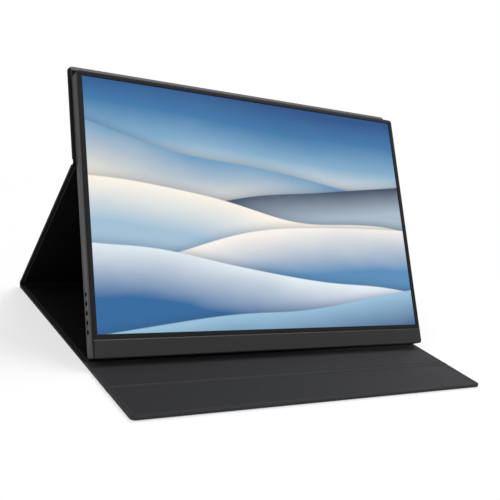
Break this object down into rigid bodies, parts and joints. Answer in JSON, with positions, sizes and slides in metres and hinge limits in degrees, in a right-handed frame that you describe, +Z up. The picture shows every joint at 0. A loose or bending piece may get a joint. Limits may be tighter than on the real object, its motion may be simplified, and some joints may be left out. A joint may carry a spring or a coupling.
{
  "type": "portable monitor",
  "caption": "Slim portable monitor held by magnets in a folding cover that stands it up, with side buttons, side sockets and a flap in front.",
  "frame": {"origin": "on the table, at the middle of the cover's footprint", "axes": "+X across the screen to the viewer's right, +Y from the viewer to the back, +Z up"},
  "size_m": [0.3574, 0.2618, 0.214],
  "materials": {
    "cover_skin": "fine grained, matt",
    "cover_lining": "fine ribbed weave",
    "cover_board": "pressed board",
    "magnet": "plated",
    "housing": "satin grey",
    "bezel": "matt black",
    "chin": "matt dark grey",
    "display": "lit picture behind a matt front",
    "film": "white",
    "lamp": "light bar",
    "sheet_steel": "pressed sheet",
    "circuit_board": "green lacquer",
    "chip": "black moulding",
    "flex": "amber film",
    "button": "matt black"
  },
  "bodies": {
    "base": {"base_skin": "cover_skin", "base_lining": "cover_lining", "mid_board": "cover_board", "rear_board": "cover_board", "rear_fold_web": "cover_skin", "crease_web": "cover_skin"},
    "front_flap": {"flap_skin": "cover_skin", "flap_board": "cover_board", "flap_lining": "cover_lining", "flap_magnets": "magnet"},
    "strut": {"strut_skin": "cover_skin", "strut_board": "cover_board", "strut_lining": "cover_lining", "upper_fold_web": "cover_skin"},
    "back_panel": {"back_skin": "cover_skin", "back_board": "cover_board", "back_lining": "cover_lining", "cover_magnets": "magnet"},
    "monitor": {"rear_housing": "housing", "front_bezel": "bezel", "chin_strip": "chin", "lcd_cell": "display", "optical_films": "film", "light_guide": "film", "led_bar": "lamp", "reflector": "film", "backlight_tray": "sheet_steel", "driver_board": "circuit_board", "panel_flex": "flex", "main_board": "circuit_board", "main_board_chips": "chip", "usb_c_sockets": "sheet_steel", "mini_hdmi_socket": "sheet_steel", "audio_jack": "chip", "button_board": "circuit_board", "tact_switches": "chip", "button_cable": "flex", "display_cable": "flex", "speaker_left": "chip", "speaker_right": "chip", "keeper_plates": "sheet_steel", "board_screws": "sheet_steel"},
    "power_button": {"power_button": "button"},
    "menu_button": {"menu_button": "button"},
    "up_button": {"up_button": "button"},
    "down_button": {"down_button": "button"},
    "exit_button": {"exit_button": "button"}
  },
  "joints": [
    {"name": "strut_fold", "type": "hinge", "parent": "base", "child": "strut", "pos_m": [0, 0.12636, 0.0045], "axis": [-1, 0, 0], "range_deg": [-10, 25], "deforming": ["rear_fold_web"]},
    {"name": "panel_fold", "type": "hinge", "parent": "strut", "child": "back_panel", "pos_m": [0, 0.04275, 0.14089], "axis": [-1, 0, 0], "range_deg": [-50, 20], "deforming": ["upper_fold_web"]},
    {"name": "flap_fold", "type": "hinge", "parent": "base", "child": "front_flap", "pos_m": [0, -0.08536, 0.0022], "axis": [-1, 0, 0], "range_deg": [0, 120], "deforming": ["crease_web"]},
    {"name": "monitor_lift", "type": "slide", "parent": "back_panel", "child": "monitor", "axis": [0, 0.515, 0.8572], "range_m": [0, 0.24]},
    {"name": "power_press", "type": "slide", "parent": "monitor", "child": "power_button", "axis": [1, 0, 0], "range_m": [0, 0.0004], "stiffness_N_per_m": 1500, "springref_m": -0.0004},
    {"name": "menu_press", "type": "slide", "parent": "monitor", "child": "menu_button", "axis": [1, 0, 0], "range_m": [0, 0.0004], "stiffness_N_per_m": 1500, "springref_m": -0.0004},
    {"name": "up_press", "type": "slide", "parent": "monitor", "child": "up_button", "axis": [1, 0, 0], "range_m": [0, 0.0004], "stiffness_N_per_m": 1500, "springref_m": -0.0004},
    {"name": "down_press", "type": "slide", "parent": "monitor", "child": "down_button", "axis": [1, 0, 0], "range_m": [0, 0.0004], "stiffness_N_per_m": 1500, "springref_m": -0.0004},
    {"name": "exit_press", "type": "slide", "parent": "monitor", "child": "exit_button", "axis": [1, 0, 0], "range_m": [0, 0.0004], "stiffness_N_per_m": 1500, "springref_m": -0.0004}
  ],
  "couplings": [
    {"joint": "panel_fold", "follows": "strut_fold", "ratio": -2}
  ]
}
